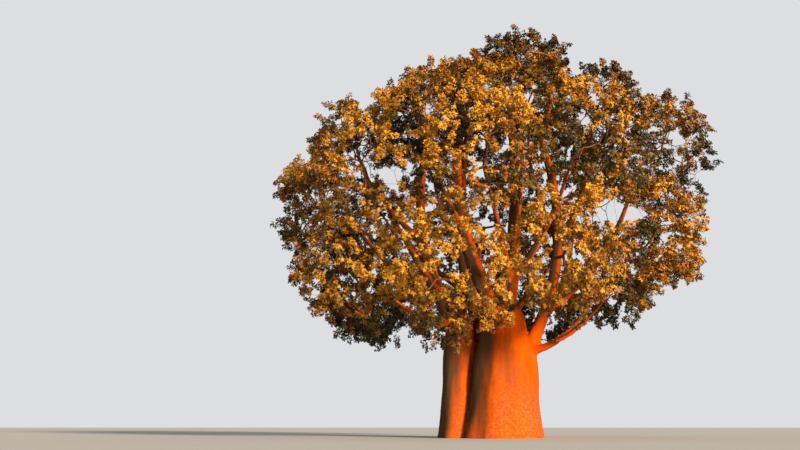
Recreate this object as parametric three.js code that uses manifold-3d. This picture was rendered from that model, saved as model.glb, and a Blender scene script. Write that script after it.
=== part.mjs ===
// A broad old baobab in full leaf, rooted in level ground.
// Millimetres, +Z up, +X to the right of the usual view and +Y away from it.
// The origin is the middle of the flat cut under the trunk, at ground level.
// Fused stems make the trunk. Boughs leave it and each other, and each ends in a mass of foliage:
// twigs that fork from one stem by a seeded rule, with a hand-shaped leaf on every tip that stands
// for a whole spray.

import * as THREE from "three";
import { mergeVertices } from "three/addons/utils/BufferGeometryUtils.js";
import Module from "manifold-3d";

const wasm = await Module();
wasm.setup();

// Clearances
const GAP = 0.4; // between solids that are one growth on the real tree
const LIMB_CLEARANCE = 25; // between foliage and any limb but its own
const CELL_CLEARANCE = 12; // between a mass and the border it shares with the next

// Trunk: each stem's place and half width at the ground, its half width and height at the top, and its lean
const STEMS = {
  main: { x: 440, y: -450, foot: 1600, top: 800, height: 5900, leanX: 60, leanY: 150 },
  left: { x: -1480, y: 150, foot: 880, top: 610, height: 5500, leanX: 40, leanY: 60 },
  right: { x: 1080, y: 850, foot: 890, top: 520, height: 4200, leanX: 360, leanY: 150 },
  rear: { x: -300, y: 1350, foot: 1450, top: 850, height: 5800, leanX: -50, leanY: 150 },
};
const ROOT_FLARE = 130; // extra half width where a stem meets the ground
const ROOT_FLARE_HEIGHT = 420; // height over which the flare fades
const TAPER_BEND = 1.5; // how late up a stem its taper comes; 1 is an even taper
const FLUTES = 7; // shallow folds round a stem
const FLUTE_DEPTH = 0.025; // share of the half width
const SHOULDER = 700; // height of the rounded top of a stem
const SHOULDER_NARROWING = 0.45; // share of the half width lost over the shoulder
const STEM_SIDES = 18;
const STEM_STEPS = 6;

// Crown: rings of masses round its heart, counted from the right round by the back. A mass stands as far
// above its ring's rise as lift says, in degrees.
const HEART = new THREE.Vector3(0, 0, 9500);
const CROWN_TILT = 9; // degrees, right side up
const RINGS = [
  {
    name: "low", rise: -17, first: -20, spread: 2750, join: 0.9, climb: 0.14,
    stems: ["right", "right", "rear", "rear", "left", "left", "main", "main"],
    girth: 180, tip: 85, reach: [10000, 9400, 9600, 9300, 9500, 9900, 9300, 9400],
    lift: [-1, -6, -4, 0, 4, 4, -9, -6],
  },
  {
    name: "middle", rise: 14, first: 0, spread: 3000, join: 0.16, climb: 0.5,
    girth: 230, tip: 105, reach: [11200, 10300, 9800, 10000, 10600, 9800, 9500, 9600],
    lift: [1, 0, 0, 0, 5, 2, 0, 4],
  },
  {
    name: "high", rise: 41, first: 0, spread: 2900, join: 0.45, climb: 0.8,
    girth: 200, tip: 100, reach: [10100, 9900, 9700, 10000, 8800, 8800],
    lift: [-6, 0, 0, -6, -2, 0],
  },
  {
    name: "top", rise: 68, first: 20, spread: 2650, join: 0.93, climb: 1.6,
    stems: ["right", "rear", "left", "main", "main"],
    girth: 420, tip: 165, reach: [10400, 9600, 8900, 8300, 8400],
    lift: [-3, 0, 0, 10, -10],
  },
];
const SIDES_OF_CROWN = [
  "right", "back_right", "back", "back_left", "left", "front_left", "front", "front_right",
];

// Boughs
const BOUGH_SIDES = 6;
const BOUGH_STEPS = 4;
const BOUGH_ROOT = 0.4; // how far from a stem's axis a bough starts, as a share of the half width
const BOUGH_SHARE = 0.62; // greatest half width of a bough, as a share of its stem's
const BOUGH_SWAY = 0.05; // sideways wander, as a share of the length
const BOUGH_ENTRY = 0.5; // where a bough ends, as a share of its mass's radius from the middle
const BOUGH_BEND = 0.5; // how far the bend lies from the start, as a share of the length

// Foliage
const SPRAYS = 10; // sprays tried in each mass
const SPRAY_DEPTH = [0.3, 0.75]; // nearest and furthest a spray lies from the middle of its mass
const BACK_SHARE = -0.45; // sprays further round towards the heart than this are left out
const LEAFLETS = 5; // leaflets of the hand-shaped leaf that stands for a spray
const LEAFLET_TURN = (2 * Math.PI) / LEAFLETS;
const LEAFLET_LENGTH = 1900;
const LEAFLET_WIDTH = 0.6; // share of the length
const LEAFLET_SHOULDER = 0.47; // where a leaflet is widest
const LEAFLET_NOTCH = 0.25; // how far out two leaflets part
const LEAFLET_TILT = 70; // degrees between a leaflet and the line that its leaf faces along
const LEAFLET_LEAST = 0.38; // a leaflet that would be shorter than this share is left out
const LEAF_SHRINK = 0.85; // step by which a leaf is made smaller to clear what is in its way
const LEAFLET_SHRINK = 0.93; // step by which a leaflet is made shorter to fit its space
const LEAF_THICKNESS = 130; // at the leaf's middle, down to an edge all round
const LEAF_OUTWARD = 0.6; // how far a leaf turns from its twig's line to face out of the crown
const LEAF_HOLD = 0.14; // how far from a leaf's middle its twig enters it, as a share of a leaflet's length
const TWIG_TIP = 36; // half width of a twig that bears one spray
const TWIG_END = 26; // half width of the end of a twig
const TWIG_ROOT = 0.01; // how far behind a fork a new twig starts, as a share of the way to what it bears
const FOOT_LENGTH = 4; // length of a mass's foot, as a share of its bough's tip
const FOOT_TAPER = 0.8;
const TWIG_SIDES = 3;
const FORK_SHARE = 0.48; // how far a twig runs towards the middle of what it bears

// Sky windows, seen from where the tree is usually viewed: place and half size at the trunk's distance
const VIEWPOINT = new THREE.Vector3(0, -40000, 500);
const SKY_WINDOWS = [
  { x: -5700, z: 12300, across: 900, up: 450 },
  { x: -4200, z: 12200, across: 800, up: 450 },
  { x: 5700, z: 9900, across: 1100, up: 700 },
  { x: 2300, z: 5200, across: 350, up: 600 },
];

const UP = new THREE.Vector3(0, 0, 1);
const radians = THREE.MathUtils.degToRad;

// Random numbers from a seed, the same on every run
function seeded(seed) {
  let state = (seed * 7919 + 12345) % 4294967296;
  return () => {
    state = (state * 1664525 + 1013904223) % 4294967296;
    return state / 4294967296;
  };
}

// A closed three.js geometry as a solid that can be joined and cut
function solid(geometry) {
  const bare = geometry.clone();
  bare.deleteAttribute("normal");
  bare.deleteAttribute("uv");
  const merged = mergeVertices(bare, 1e-3);
  return new wasm.Manifold(
    new wasm.Mesh({
      numProp: 3,
      vertProperties: merged.attributes.position.array,
      triVerts: new Uint32Array(merged.index.array),
    }),
  );
}

// The largest piece of a solid, without the loose scraps that a cut can leave
function largest(cut) {
  return cut.decompose().reduce((a, b) => (a.volume() > b.volume() ? a : b));
}

function geometryOf(made) {
  const { vertProperties, triVerts } = made.getMesh();
  const geometry = new THREE.BufferGeometry();
  geometry.setAttribute("position", new THREE.BufferAttribute(vertProperties, 3));
  geometry.setIndex(new THREE.BufferAttribute(triVerts, 1));
  geometry.computeVertexNormals();
  return geometry;
}

// Half width of a stem at a height and a direction round it
function stemRadius(stem, z, turn) {
  const risen = (Math.max(0, z) / stem.height) ** TAPER_BEND;
  const taper = THREE.MathUtils.lerp(stem.foot, stem.top, risen);
  const flare = ROOT_FLARE * Math.exp(-z / ROOT_FLARE_HEIGHT);
  const into = Math.max(0, z - (stem.height - SHOULDER)) / SHOULDER;
  const shoulder = 1 - SHOULDER_NARROWING * into * into;
  const flute = 1 + FLUTE_DEPTH * Math.cos(FLUTES * turn + stem.x);
  return (taper + flare) * shoulder * flute;
}

function stemAxis(stem, z) {
  const share = z / stem.height;
  return new THREE.Vector3(stem.x + stem.leanX * share, stem.y + stem.leanY * share, z);
}

// A stem of the trunk, from the ground to its rounded top
function stemSolid(stem, extra = 0) {
  const geometry = new THREE.CylinderGeometry(1, 1, 1, STEM_SIDES, STEM_STEPS);
  geometry.rotateX(Math.PI / 2);
  const position = geometry.attributes.position;
  for (let i = 0; i < position.count; i++) {
    const share = position.getZ(i) + 0.5;
    const z = share * stem.height;
    const turn = Math.atan2(position.getY(i), position.getX(i));
    const axis = stemAxis(stem, z);
    const radius = stemRadius(stem, z, turn) + extra;
    position.setXYZ(
      i,
      axis.x + position.getX(i) * radius,
      axis.y + position.getY(i) * radius,
      share === 1 ? z + extra : z,
    );
  }
  return solid(geometry);
}

function trunkSolid(extra = 0) {
  return wasm.Manifold.union(Object.values(STEMS).map((stem) => stemSolid(stem, extra)));
}

// A round limb that tapers along a curve, closed by a flat cut at each end
function limbSolid(limb, extra = 0) {
  const { curve, girth, tip } = limb;
  const geometry = new THREE.CylinderGeometry(1, 1, 1, BOUGH_SIDES, BOUGH_STEPS);
  const frames = curve.computeFrenetFrames(BOUGH_STEPS, false);
  const position = geometry.attributes.position;
  for (let i = 0; i < position.count; i++) {
    const step = Math.round((position.getY(i) + 0.5) * BOUGH_STEPS);
    const share = step / BOUGH_STEPS;
    const radius = THREE.MathUtils.lerp(girth, tip, share) + extra;
    const place = curve
      .getPointAt(share)
      .addScaledVector(frames.normals[step], position.getX(i) * radius)
      .addScaledVector(frames.binormals[step], -position.getZ(i) * radius);
    if (step === 0) place.addScaledVector(frames.tangents[step], -extra);
    if (step === BOUGH_STEPS) place.addScaledVector(frames.tangents[step], extra);
    position.setXYZ(i, place.x, place.y, place.z);
  }
  return solid(geometry);
}

// A direction from its compass turn and its rise, in the crown's own tilted frame
function crownDirection(azimuth, rise) {
  return new THREE.Vector3(
    Math.cos(radians(azimuth)) * Math.cos(radians(rise)),
    Math.sin(radians(azimuth)) * Math.cos(radians(rise)),
    Math.sin(radians(rise)),
  ).applyAxisAngle(new THREE.Vector3(0, 1, 0), radians(-CROWN_TILT));
}

// Every mass of the crown: its middle, its radius and the ring that it belongs to
function crownMasses() {
  const masses = [];
  for (const ring of RINGS) {
    ring.reach.forEach((reach, i) => {
      const azimuth = ring.first + (360 / ring.reach.length) * i;
      const side = SIDES_OF_CROWN[Math.round(azimuth / 45) % SIDES_OF_CROWN.length];
      const out = crownDirection(azimuth, ring.rise + ring.lift[i]);
      masses.push({
        name: `${ring.name}_${side}`,
        seed: masses.length + 1,
        order: i,
        ring,
        out,
        radius: ring.spread,
        middle: HEART.clone().addScaledVector(out, reach - ring.spread),
      });
    });
  }
  return masses;
}

// A limb's curve: it leaves along one direction and bends over to its end, with a seeded sway
function boughCurve(start, leave, end, random) {
  const length = start.distanceTo(end);
  const bend = start.clone().addScaledVector(leave, length * BOUGH_BEND);
  const across = new THREE.Vector3().crossVectors(UP, leave).normalize();
  bend.addScaledVector(across, (random() - 0.5) * 2 * BOUGH_SWAY * length);
  bend.z += (random() - 0.5) * 2 * BOUGH_SWAY * length;
  return new THREE.QuadraticBezierCurve3(start, bend, end);
}

// Level direction from a point towards a mass
function towards(mass, point) {
  return new THREE.Vector3(mass.middle.x - point.x, mass.middle.y - point.y, 0).normalize();
}

// Where a bough starts: inside the trunk stem that its ring names, or on the leader that stands nearest
function boughStart(mass, leaders) {
  const { ring } = mass;
  if (ring.stems) {
    const stem = STEMS[ring.stems[mass.order]];
    const point = stemAxis(stem, stem.height * ring.join);
    return point.addScaledVector(towards(mass, point), stem.top * BOUGH_ROOT);
  }
  const points = leaders.map((leader) => leader.curve.getPointAt(ring.join));
  const away = (point) => Math.hypot(point.x - mass.middle.x, point.y - mass.middle.y);
  return points.reduce((a, b) => (away(b) < away(a) ? b : a));
}

// The bough that carries a mass, from the trunk or from a leader to the mass's inside
function boughTo(mass, leaders) {
  const { ring } = mass;
  const start = boughStart(mass, leaders);
  const inward = start.clone().sub(mass.middle).normalize();
  const end = mass.middle.clone().addScaledVector(inward, mass.radius * BOUGH_ENTRY);
  const leave = towards(mass, start);
  leave.z = ring.climb;
  leave.normalize();
  const curve = boughCurve(start, leave, end, seeded(mass.seed + 100));
  const widest = ring.stems ? STEMS[ring.stems[mass.order]].top * BOUGH_SHARE : Infinity;
  return { name: mass.name, curve, girth: Math.min(ring.girth, widest), tip: ring.tip };
}

// How far inside a mass's space a point is: positive inside its ball and on its side of every border
function roomAt(mass, masses, point) {
  const toBall = mass.radius - point.distanceTo(mass.middle);
  const power = (other) => point.distanceToSquared(other.middle) - other.radius ** 2;
  const own = power(mass);
  const borders = masses
    .filter((other) => other !== mass)
    .map((other) => (power(other) - own) / 2 / other.middle.distanceTo(mass.middle));
  return Math.min(toBall, Math.min(...borders) - CELL_CLEARANCE);
}

// Whether the usual view shows open sky through a point
function inSkyWindow(point) {
  const share = VIEWPOINT.y / (VIEWPOINT.y - point.y);
  const x = VIEWPOINT.x + (point.x - VIEWPOINT.x) * share;
  const z = VIEWPOINT.z + (point.z - VIEWPOINT.z) * share;
  return SKY_WINDOWS.some(
    (gap) => ((x - gap.x) / gap.across) ** 2 + ((z - gap.z) / gap.up) ** 2 < 1,
  );
}

// Where the sprays of a mass go: a golden spiral round its middle, at seeded depths
function sprayPlaces(mass, masses, random) {
  const places = [];
  const turn = Math.PI * (3 - Math.sqrt(5));
  const start = random() * 2 * Math.PI;
  for (let i = 0; i < SPRAYS; i++) {
    const z = 1 - (2 * (i + 0.5)) / SPRAYS;
    const flat = Math.sqrt(1 - z * z);
    const direction = new THREE.Vector3(
      flat * Math.cos(start + turn * i), flat * Math.sin(start + turn * i), z,
    );
    const depth = THREE.MathUtils.lerp(...SPRAY_DEPTH, Math.sqrt(random())) * mass.radius;
    const place = mass.middle.clone().addScaledVector(direction, depth);
    if (direction.dot(mass.out) < BACK_SHARE || inSkyWindow(place)) continue;
    if (roomAt(mass, masses, place) > TWIG_TIP) places.push(place);
  }
  return places;
}

// The two halves of some places, either side of the middle of their widest spread
function halves(places) {
  const spread = (axis) => {
    const values = places.map((place) => place[axis]);
    return Math.max(...values) - Math.min(...values);
  };
  const widest = ["x", "y", "z"].reduce((a, b) => (spread(b) > spread(a) ? b : a));
  const sorted = [...places].sort((a, b) => a[widest] - b[widest]);
  const half = Math.ceil(sorted.length / 2);
  return [sorted.slice(0, half), sorted.slice(half)];
}

function twigRadius(count) {
  return TWIG_TIP * Math.sqrt(count);
}

// A three-sided twig swept along a path of points, each with its own half width
function twigGeometry(path) {
  const rings = path.map(({ point, radius }, i) => {
    const before = path[Math.max(i - 1, 0)].point;
    const after = path[Math.min(i + 1, path.length - 1)].point;
    return { point, radius, along: after.clone().sub(before).normalize() };
  });
  const side = new THREE.Vector3().crossVectors(rings[0].along, UP);
  if (side.lengthSq() < 1e-6) side.set(1, 0, 0);
  const corners = rings.flatMap(({ point, radius, along }) => {
    side.addScaledVector(along, -side.dot(along)).normalize();
    return [...Array(TWIG_SIDES).keys()].map((k) =>
      point.clone().addScaledVector(
        side.clone().applyAxisAngle(along, (k * 2 * Math.PI) / TWIG_SIDES), radius,
      ),
    );
  });
  const faces = [0, 2, 1];
  for (let ring = 0; ring < path.length - 1; ring++) {
    for (let k = 0; k < TWIG_SIDES; k++) {
      const here = ring * TWIG_SIDES + k;
      const next = ring * TWIG_SIDES + ((k + 1) % TWIG_SIDES);
      faces.push(here, next, next + TWIG_SIDES, here, next + TWIG_SIDES, here + TWIG_SIDES);
    }
  }
  const last = corners.length - TWIG_SIDES;
  faces.push(last, last + 1, last + 2);
  const geometry = new THREE.BufferGeometry().setFromPoints(corners);
  geometry.setIndex(faces);
  return geometry;
}

// A point of a leaf, at a turn round its middle and a share of a leaflet's length from it
function leafPoint(pose, turn, reach) {
  const length = reach * LEAFLET_LENGTH;
  return pose.middle
    .clone()
    .addScaledVector(pose.facing, length * Math.cos(radians(LEAFLET_TILT)))
    .addScaledVector(
      pose.side.clone().applyAxisAngle(pose.facing, turn),
      length * Math.sin(radians(LEAFLET_TILT)),
    );
}

// The outline of a hand-shaped leaf: each leaflet's two shoulders and tip, and the notch before the next
function leafOutline(pose, sizes) {
  const spread = Math.atan(LEAFLET_WIDTH / 2 / LEAFLET_SHOULDER);
  const shoulder = Math.hypot(LEAFLET_WIDTH / 2, LEAFLET_SHOULDER);
  return sizes.flatMap((size, i) => {
    const turn = i * LEAFLET_TURN;
    const leaflet = [
      leafPoint(pose, turn - spread, shoulder * size),
      leafPoint(pose, turn, size),
      leafPoint(pose, turn + spread, shoulder * size),
    ];
    const beside = Math.max(size, sizes[(i + 1) % LEAFLETS], LEAFLET_LEAST);
    const notch = leafPoint(pose, turn + LEAFLET_TURN / 2, LEAFLET_NOTCH * beside);
    return size > 0 ? [...leaflet, notch] : [notch];
  });
}

// A leaf as a closed fan: from a point above its middle and one below it to its outline
function leafGeometry(pose, outline) {
  const points = [
    pose.middle.clone().addScaledVector(pose.facing, LEAF_THICKNESS / 2),
    pose.middle.clone().addScaledVector(pose.facing, -LEAF_THICKNESS / 2),
    ...outline,
  ];
  const faces = outline.flatMap((_, i) => {
    const here = i + 2;
    const next = ((i + 1) % outline.length) + 2;
    return [0, here, next, 1, next, here];
  });
  const geometry = new THREE.BufferGeometry().setFromPoints(points);
  geometry.setIndex(faces);
  return geometry;
}

// Whether every corner of a geometry has room in a mass's space
function hasRoom(mass, masses, geometry) {
  const { position } = geometry.attributes;
  for (let i = 0; i < position.count; i++) {
    if (roomAt(mass, masses, new THREE.Vector3().fromBufferAttribute(position, i)) < 0) return false;
  }
  return true;
}

const crosses = (piece, others) => others.some((other) => !piece.intersect(other).isEmpty());

// How a leaf sits on its twig: facing on and outwards, with the twig's end inside the base of a leaflet
function leafPose(tip, heading, mass, random) {
  const facing = heading.clone().addScaledVector(mass.out, LEAF_OUTWARD).normalize();
  const side = new THREE.Vector3().crossVectors(facing, UP).normalize();
  side.applyAxisAngle(facing, random() * 2 * Math.PI);
  const pose = { middle: new THREE.Vector3(), facing, side };
  pose.middle = tip.clone().sub(leafPoint(pose, LEAFLET_TURN / 4, LEAF_HOLD));
  return pose;
}

// The leaf on a twig's tip: each leaflet as long as its mass's space allows, and the whole leaf smaller
// until it is clear of every limb, twig and leaf in its way
function leafSolid(pose, mass, masses, inTheWay) {
  const none = Array(LEAFLETS).fill(0);
  const within = (outline) => outline.every((point) => roomAt(mass, masses, point) > 0);
  for (let most = 1; most >= LEAFLET_LEAST; most *= LEAF_SHRINK) {
    const sizes = none.map((_, i) => {
      for (let size = most; size >= LEAFLET_LEAST; size *= LEAFLET_SHRINK) {
        if (within(leafOutline(pose, none.with(i, size)))) return size;
      }
      return 0;
    });
    if (Math.max(...sizes) === 0) return null;
    const geometry = leafGeometry(pose, leafOutline(pose, sizes));
    const leaf = solid(geometry);
    if (hasRoom(mass, masses, geometry) && !crosses(leaf, inTheWay)) return leaf;
  }
  return null;
}

const middleOf = (places) =>
  places.reduce((sum, place) => sum.add(place), new THREE.Vector3()).divideScalar(places.length);

// Twigs from a stem's path to every place: a branch runs part of the way to the middle of what it bears
// and forks there, where one half goes on along the same twig and the other starts a twig of its own
function growTwigs(stem, places, allowed) {
  const twigs = [];
  const grow = (path, borne) => {
    const from = path.at(-1);
    const last = borne.length === 1;
    const point = last ? borne[0] : from.point.clone().lerp(middleOf(borne), FORK_SHARE);
    const node = { point, radius: last ? TWIG_END : twigRadius(borne.length) };
    if (!allowed(twigGeometry([from, node]))) {
      if (path.length > 1) twigs.push({ path, bearsLeaf: false });
      return;
    }
    path.push(node);
    if (last) {
      twigs.push({ path, bearsLeaf: true });
      return;
    }
    const [on, off] = halves(borne);
    grow(path, on);
    const root = point.clone().lerp(middleOf(off), -TWIG_ROOT);
    grow([{ point: root, radius: twigRadius(off.length) }], off);
  };
  grow(stem, places);
  return twigs;
}

// One mass of foliage, on a stem that starts just clear of its bough's tip
function massSolid(mass, masses, bough, limbs) {
  const random = seeded(mass.seed);
  const leave = bough.curve.getTangentAt(1);
  const foot = bough.curve.getPointAt(1).addScaledVector(leave, GAP);
  const head = foot.clone().addScaledVector(leave, bough.tip * FOOT_LENGTH);
  const stem = [{ point: foot, radius: bough.tip }, { point: head, radius: bough.tip * FOOT_TAPER }];
  const allowed = (geometry) => hasRoom(mass, masses, geometry) && !crosses(solid(geometry), [limbs]);
  const twigs = growTwigs(stem, sprayPlaces(mass, masses, random), allowed);
  const twigSolids = twigs.map((twig) => solid(twigGeometry(twig.path)));

  const leaves = [];
  twigs.forEach(({ path, bearsLeaf }, i) => {
    if (!bearsLeaf) return;
    const tip = path.at(-1).point;
    const heading = tip.clone().sub(path.at(-2).point).normalize();
    const pose = leafPose(tip, heading, mass, random);
    const leaf = leafSolid(pose, mass, masses, [limbs, ...twigSolids.toSpliced(i, 1), ...leaves]);
    if (leaf) leaves.push(leaf);
  });
  return largest(wasm.Manifold.union([...twigSolids, ...leaves]));
}

const BARK = new THREE.MeshStandardMaterial({ color: 0xb9602c, roughness: 0.85, metalness: 0 });
const LEAF = new THREE.MeshStandardMaterial({ color: 0x8a6a22, roughness: 0.7, metalness: 0 });

const tree = new THREE.Group();
function addNode(name, made, material) {
  const mesh = new THREE.Mesh(geometryOf(made), material);
  mesh.name = name;
  tree.add(mesh);
}

const masses = crownMasses();
const carried = new Map();
const topMasses = masses.filter((mass) => mass.ring.name === "top");
for (const mass of topMasses) carried.set(mass, boughTo(mass, []));
const leaders = [...carried.values()];
for (const mass of masses) if (!carried.has(mass)) carried.set(mass, boughTo(mass, leaders));

addNode("trunk", trunkSolid(), BARK);

// Each bough is cut clear of the trunk and of the boughs made before it
let grown = trunkSolid(GAP);
let clear = trunkSolid(LIMB_CLEARANCE);
for (const bough of carried.values()) {
  addNode(`bough_${bough.name}`, largest(limbSolid(bough).subtract(grown)), BARK);
  grown = grown.add(limbSolid(bough, GAP));
  clear = clear.add(limbSolid(bough, LIMB_CLEARANCE));
}
for (const [mass, bough] of carried) {
  addNode(`foliage_${mass.name}`, massSolid(mass, masses, bough, clear), LEAF);
}

export default tree;
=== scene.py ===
"""A broad old baobab in full leaf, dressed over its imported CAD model.

Metres and degrees, in the frame of the CAD model: +Z up, +X to the right of the usual view and +Y away
from it, with the origin under the trunk at ground level. One mesh with the bark's relief stands for the
trunk and the boughs. The masses of foliage grow by the rule of the CAD source, carried on to finer twigs,
and their leaves are dealt out by spray into a few tints.
"""

import math
from dataclasses import dataclass

import bmesh
import bpy
import numpy as np
from bpy.props import FloatProperty, FloatVectorProperty, IntProperty, PointerProperty
from mathutils import Matrix, Vector, noise


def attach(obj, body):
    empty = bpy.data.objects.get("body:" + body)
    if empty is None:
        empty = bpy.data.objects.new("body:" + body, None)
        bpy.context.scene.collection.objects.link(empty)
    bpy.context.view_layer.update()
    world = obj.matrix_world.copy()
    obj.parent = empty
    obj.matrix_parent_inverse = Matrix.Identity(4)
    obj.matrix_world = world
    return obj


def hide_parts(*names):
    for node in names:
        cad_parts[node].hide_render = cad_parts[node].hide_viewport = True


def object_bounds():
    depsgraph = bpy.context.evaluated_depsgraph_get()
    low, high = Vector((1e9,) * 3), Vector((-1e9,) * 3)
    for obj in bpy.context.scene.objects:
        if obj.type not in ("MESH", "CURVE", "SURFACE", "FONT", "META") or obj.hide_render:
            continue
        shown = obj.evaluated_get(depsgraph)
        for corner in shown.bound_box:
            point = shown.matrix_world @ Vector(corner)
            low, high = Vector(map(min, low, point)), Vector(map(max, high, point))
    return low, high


bl_info = {
    "name": "Leafy baobab",
    "version": (1, 0, 0),
    "blender": (4, 5, 0),
    "location": "3D View > Sidebar > Baobab",
    "description": "Bark, twigs and leaves of a broad old baobab over its CAD model",
    "category": "Object",
}

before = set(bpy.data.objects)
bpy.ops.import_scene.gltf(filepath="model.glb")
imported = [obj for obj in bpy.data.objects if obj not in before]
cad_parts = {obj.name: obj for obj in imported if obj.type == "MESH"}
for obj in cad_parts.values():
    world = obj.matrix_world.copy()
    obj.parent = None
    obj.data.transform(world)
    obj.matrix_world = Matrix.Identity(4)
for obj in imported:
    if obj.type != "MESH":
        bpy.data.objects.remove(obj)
CAD_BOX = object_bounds()

UP = Vector((0, 0, 1))
FULL_TURN = 2 * math.pi
GOLDEN_TURN = math.pi * (3 - math.sqrt(5))


def lerp(low, high, share):
    return low + (high - low) * share


def clamp(value, low=0.0, high=1.0):
    return max(low, min(high, value))


# The rule that the tree grows by, as in the CAD source

ROOT_FLARE = 0.13
ROOT_FLARE_HEIGHT = 0.42
TAPER_BEND = 1.5
FLUTES = 7
FLUTE_DEPTH = 0.025
FLUTE_SHIFT = 1000
SHOULDER = 0.7
SHOULDER_NARROWING = 0.45

HEART = Vector((0, 0, 9.5))
CROWN_TILT = 9
SIDES_OF_CROWN = (
    "right", "back_right", "back", "back_left", "left", "front_left", "front", "front_right",
)

BOUGH_ROOT = 0.4
BOUGH_SHARE = 0.62
BOUGH_SWAY = 0.05
BOUGH_ENTRY = 0.5
BOUGH_BEND = 0.5
BOUGH_SEED = 100
CURVE_SAMPLES = 200

SEED_STRIDE = 7919
SEED_START = 12345
DRAW_FACTOR = 1664525
DRAW_STEP = 1013904223
DRAW_RANGE = 2**32


@dataclass(frozen=True)
class Stem:
    """One of the fused stems of the trunk: its place and half width at the ground, its top and its lean."""

    x: float
    y: float
    foot: float
    top: float
    height: float
    lean_x: float
    lean_y: float

    def axis(self, z):
        """The middle of the stem at a height."""
        share = z / self.height
        return Vector((self.x + self.lean_x * share, self.y + self.lean_y * share, z))

    def radius(self, z, turn):
        """Half width of the stem at a height and a direction round it."""
        taper = lerp(self.foot, self.top, (max(0.0, z) / self.height) ** TAPER_BEND)
        flare = ROOT_FLARE * math.exp(-z / ROOT_FLARE_HEIGHT)
        into = max(0.0, z - (self.height - SHOULDER)) / SHOULDER
        shoulder = 1 - SHOULDER_NARROWING * into * into
        flute = 1 + FLUTE_DEPTH * math.cos(FLUTES * turn + self.x * FLUTE_SHIFT)
        return (taper + flare) * shoulder * flute


@dataclass(frozen=True)
class Ring:
    """A ring of masses round the heart of the crown, and how its boughs leave the tree.

    Each mass has its own reach from the heart to its outside, and its own lift over the ring's rise. A
    bough leaves a stem at the share `join` of its height, or a leader at that share of its length, and
    climbs by `climb` for each metre out.
    """

    name: str
    rise: float
    first: float
    spread: float
    join: float
    climb: float
    girth: float
    tip: float
    reach: tuple
    lift: tuple
    stems: tuple = ()


class Curve:
    """The middle line of a limb: a quadratic curve, read by shares of its length."""

    def __init__(self, start, bend, end):
        self.corners = (start, bend, end)
        self.shares = np.linspace(0, 1, CURVE_SAMPLES + 1)
        points = np.array([self.point(t) for t in self.shares])
        steps = np.linalg.norm(np.diff(points, axis=0), axis=1)
        self.run = np.concatenate([[0], np.cumsum(steps)])

    def point(self, t):
        start, bend, end = self.corners
        return start * (1 - t) ** 2 + bend * (2 * t * (1 - t)) + end * t**2

    def inner_share(self, share):
        return float(np.interp(share * self.run[-1], self.run, self.shares))

    def at(self, share):
        """The place at a share of the length."""
        return self.point(self.inner_share(share))

    def along(self, share):
        """The direction at a share of the length."""
        start, bend, end = self.corners
        t = self.inner_share(share)
        return ((bend - start) * (1 - t) + (end - bend) * t).normalized()

    @property
    def length(self):
        return float(self.run[-1])


@dataclass(frozen=True)
class Mass:
    """One mass of foliage: a ball of the crown, on the side of it that faces out."""

    name: str
    seed: int
    order: int
    ring: Ring
    out: Vector
    radius: float
    middle: Vector


@dataclass(frozen=True)
class Bough:
    """The limb that carries a mass, with its half width at both ends."""

    curve: Curve
    girth: float
    tip: float


STEMS = {
    "main": Stem(0.44, -0.45, 1.6, 0.8, 5.9, 0.06, 0.15),
    "left": Stem(-1.48, 0.15, 0.88, 0.61, 5.5, 0.04, 0.06),
    "right": Stem(1.08, 0.85, 0.89, 0.52, 4.2, 0.36, 0.15),
    "rear": Stem(-0.3, 1.35, 1.45, 0.85, 5.8, -0.05, 0.15),
}
RINGS = (
    Ring(
        name="low", rise=-17, first=-20, spread=2.75, join=0.9, climb=0.14, girth=0.18, tip=0.085,
        reach=(10.0, 9.4, 9.6, 9.3, 9.5, 9.9, 9.3, 9.4), lift=(-1, -6, -4, 0, 4, 4, -9, -6),
        stems=("right", "right", "rear", "rear", "left", "left", "main", "main"),
    ),
    Ring(
        name="middle", rise=14, first=0, spread=3.0, join=0.16, climb=0.5, girth=0.23, tip=0.105,
        reach=(11.2, 10.3, 9.8, 10.0, 10.6, 9.8, 9.5, 9.6), lift=(1, 0, 0, 0, 5, 2, 0, 4),
    ),
    Ring(
        name="high", rise=41, first=0, spread=2.9, join=0.45, climb=0.8, girth=0.2, tip=0.1,
        reach=(10.1, 9.9, 9.7, 10.0, 8.8, 8.8), lift=(-6, 0, 0, -6, -2, 0),
    ),
    Ring(
        name="top", rise=68, first=20, spread=2.65, join=0.93, climb=1.6, girth=0.42, tip=0.165,
        reach=(10.4, 9.6, 8.9, 8.3, 8.4), lift=(-3, 0, 0, 10, -10),
        stems=("right", "rear", "left", "main", "main"),
    ),
)


def seeded(seed):
    """Random numbers from a seed, the same as in the CAD source."""
    state = (seed * SEED_STRIDE + SEED_START) % DRAW_RANGE

    def draw():
        nonlocal state
        state = (state * DRAW_FACTOR + DRAW_STEP) % DRAW_RANGE
        return state / DRAW_RANGE

    return draw


def swing(random):
    """A random number between -1 and 1."""
    return (random() - 0.5) * 2


def crown_direction(azimuth, rise):
    """A direction from its compass turn and its rise, in the crown's own tilted frame."""
    turn, lift = math.radians(azimuth), math.radians(rise)
    level = Vector((math.cos(turn) * math.cos(lift), math.sin(turn) * math.cos(lift), math.sin(lift)))
    return Matrix.Rotation(math.radians(-CROWN_TILT), 3, "Y") @ level


def side_of_crown(azimuth):
    """The name of the side that is nearest to a compass turn."""
    step = 360 / len(SIDES_OF_CROWN)
    return SIDES_OF_CROWN[math.floor(azimuth / step + 0.5) % len(SIDES_OF_CROWN)]


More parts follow.
